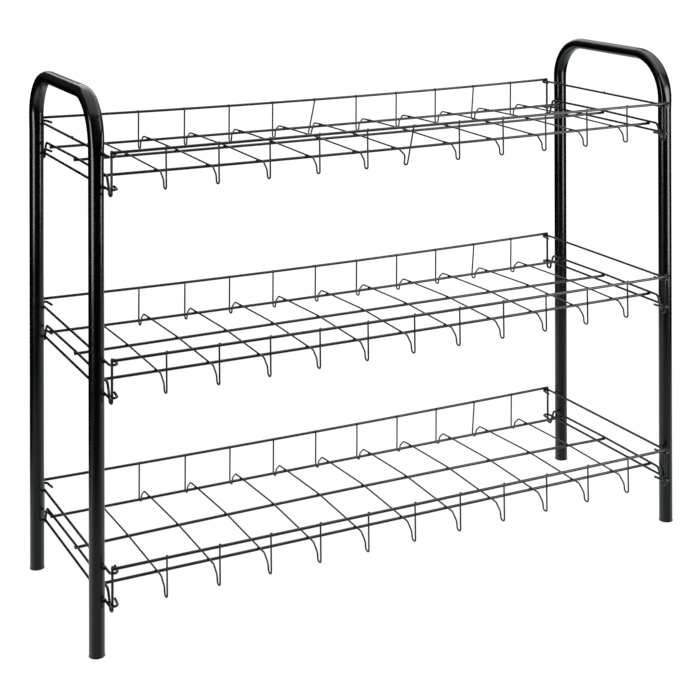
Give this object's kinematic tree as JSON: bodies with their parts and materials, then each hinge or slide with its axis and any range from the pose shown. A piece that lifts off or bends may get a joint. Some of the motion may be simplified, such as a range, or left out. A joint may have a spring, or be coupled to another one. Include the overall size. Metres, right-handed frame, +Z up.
{
  "type": "shoe rack",
  "caption": "Tiered wire shoe rack: inverted-U tube side frames with welded hook wires that hold lift-off wire tray shelves.",
  "frame": {"origin": "centre of the footprint on the floor, midway between the feet", "axes": "+X along the length towards the right side frame, +Y from front to back, +Z up"},
  "size_m": [0.6406, 0.228, 0.498],
  "materials": {
    "frame_coating": "satin black powder coating with a fine grain",
    "wire_coating": "satin black coating",
    "foot_plug": "matte black"
  },
  "bodies": {
    "side_frames": {"frame_left": "frame_coating", "frame_right": "frame_coating", "foot_plug_front_left": "foot_plug", "foot_plug_back_left": "foot_plug", "foot_plug_front_right": "foot_plug", "foot_plug_back_right": "foot_plug"},
    "top_shelf": {"top_rail_front_top": "wire_coating", "top_rail_front_floor": "wire_coating", "top_rail_middle_floor": "wire_coating", "top_rail_back_floor": "wire_coating", "top_rail_back_top": "wire_coating", "top_end_wire_left": "wire_coating", "top_end_wire_right": "wire_coating", "top_cross_wire_01": "wire_coating", "top_cross_wire_02": "wire_coating", "top_cross_wire_03": "wire_coating", "top_cross_wire_04": "wire_coating", "top_cross_wire_05": "wire_coating", "top_cross_wire_06": "wire_coating", "top_cross_wire_07": "wire_coating", "top_cross_wire_08": "wire_coating", "top_cross_wire_09": "wire_coating", "top_cross_wire_10": "wire_coating", "top_cross_wire_11": "wire_coating"},
    "middle_shelf": {"middle_rail_front_top": "wire_coating", "middle_rail_front_floor": "wire_coating", "middle_rail_middle_floor": "wire_coating", "middle_rail_back_floor": "wire_coating", "middle_rail_back_top": "wire_coating", "middle_end_wire_left": "wire_coating", "middle_end_wire_right": "wire_coating", "middle_cross_wire_01": "wire_coating", "middle_cross_wire_02": "wire_coating", "middle_cross_wire_03": "wire_coating", "middle_cross_wire_04": "wire_coating", "middle_cross_wire_05": "wire_coating", "middle_cross_wire_06": "wire_coating", "middle_cross_wire_07": "wire_coating", "middle_cross_wire_08": "wire_coating", "middle_cross_wire_09": "wire_coating", "middle_cross_wire_10": "wire_coating", "middle_cross_wire_11": "wire_coating"},
    "bottom_shelf": {"bottom_rail_front_top": "wire_coating", "bottom_rail_front_floor": "wire_coating", "bottom_rail_middle_floor": "wire_coating", "bottom_rail_back_floor": "wire_coating", "bottom_rail_back_top": "wire_coating", "bottom_end_wire_left": "wire_coating", "bottom_end_wire_right": "wire_coating", "bottom_cross_wire_01": "wire_coating", "bottom_cross_wire_02": "wire_coating", "bottom_cross_wire_03": "wire_coating", "bottom_cross_wire_04": "wire_coating", "bottom_cross_wire_05": "wire_coating", "bottom_cross_wire_06": "wire_coating", "bottom_cross_wire_07": "wire_coating", "bottom_cross_wire_08": "wire_coating", "bottom_cross_wire_09": "wire_coating", "bottom_cross_wire_10": "wire_coating", "bottom_cross_wire_11": "wire_coating"}
  },
  "joints": [
    {"name": "top_shelf_lift", "type": "slide", "parent": "side_frames", "child": "top_shelf", "axis": [0, 0, 1], "range_m": [0, 0.04]},
    {"name": "middle_shelf_lift", "type": "slide", "parent": "side_frames", "child": "middle_shelf", "axis": [0, 0, 1], "range_m": [0, 0.04]},
    {"name": "bottom_shelf_lift", "type": "slide", "parent": "side_frames", "child": "bottom_shelf", "axis": [0, 0, 1], "range_m": [0, 0.04]}
  ]
}
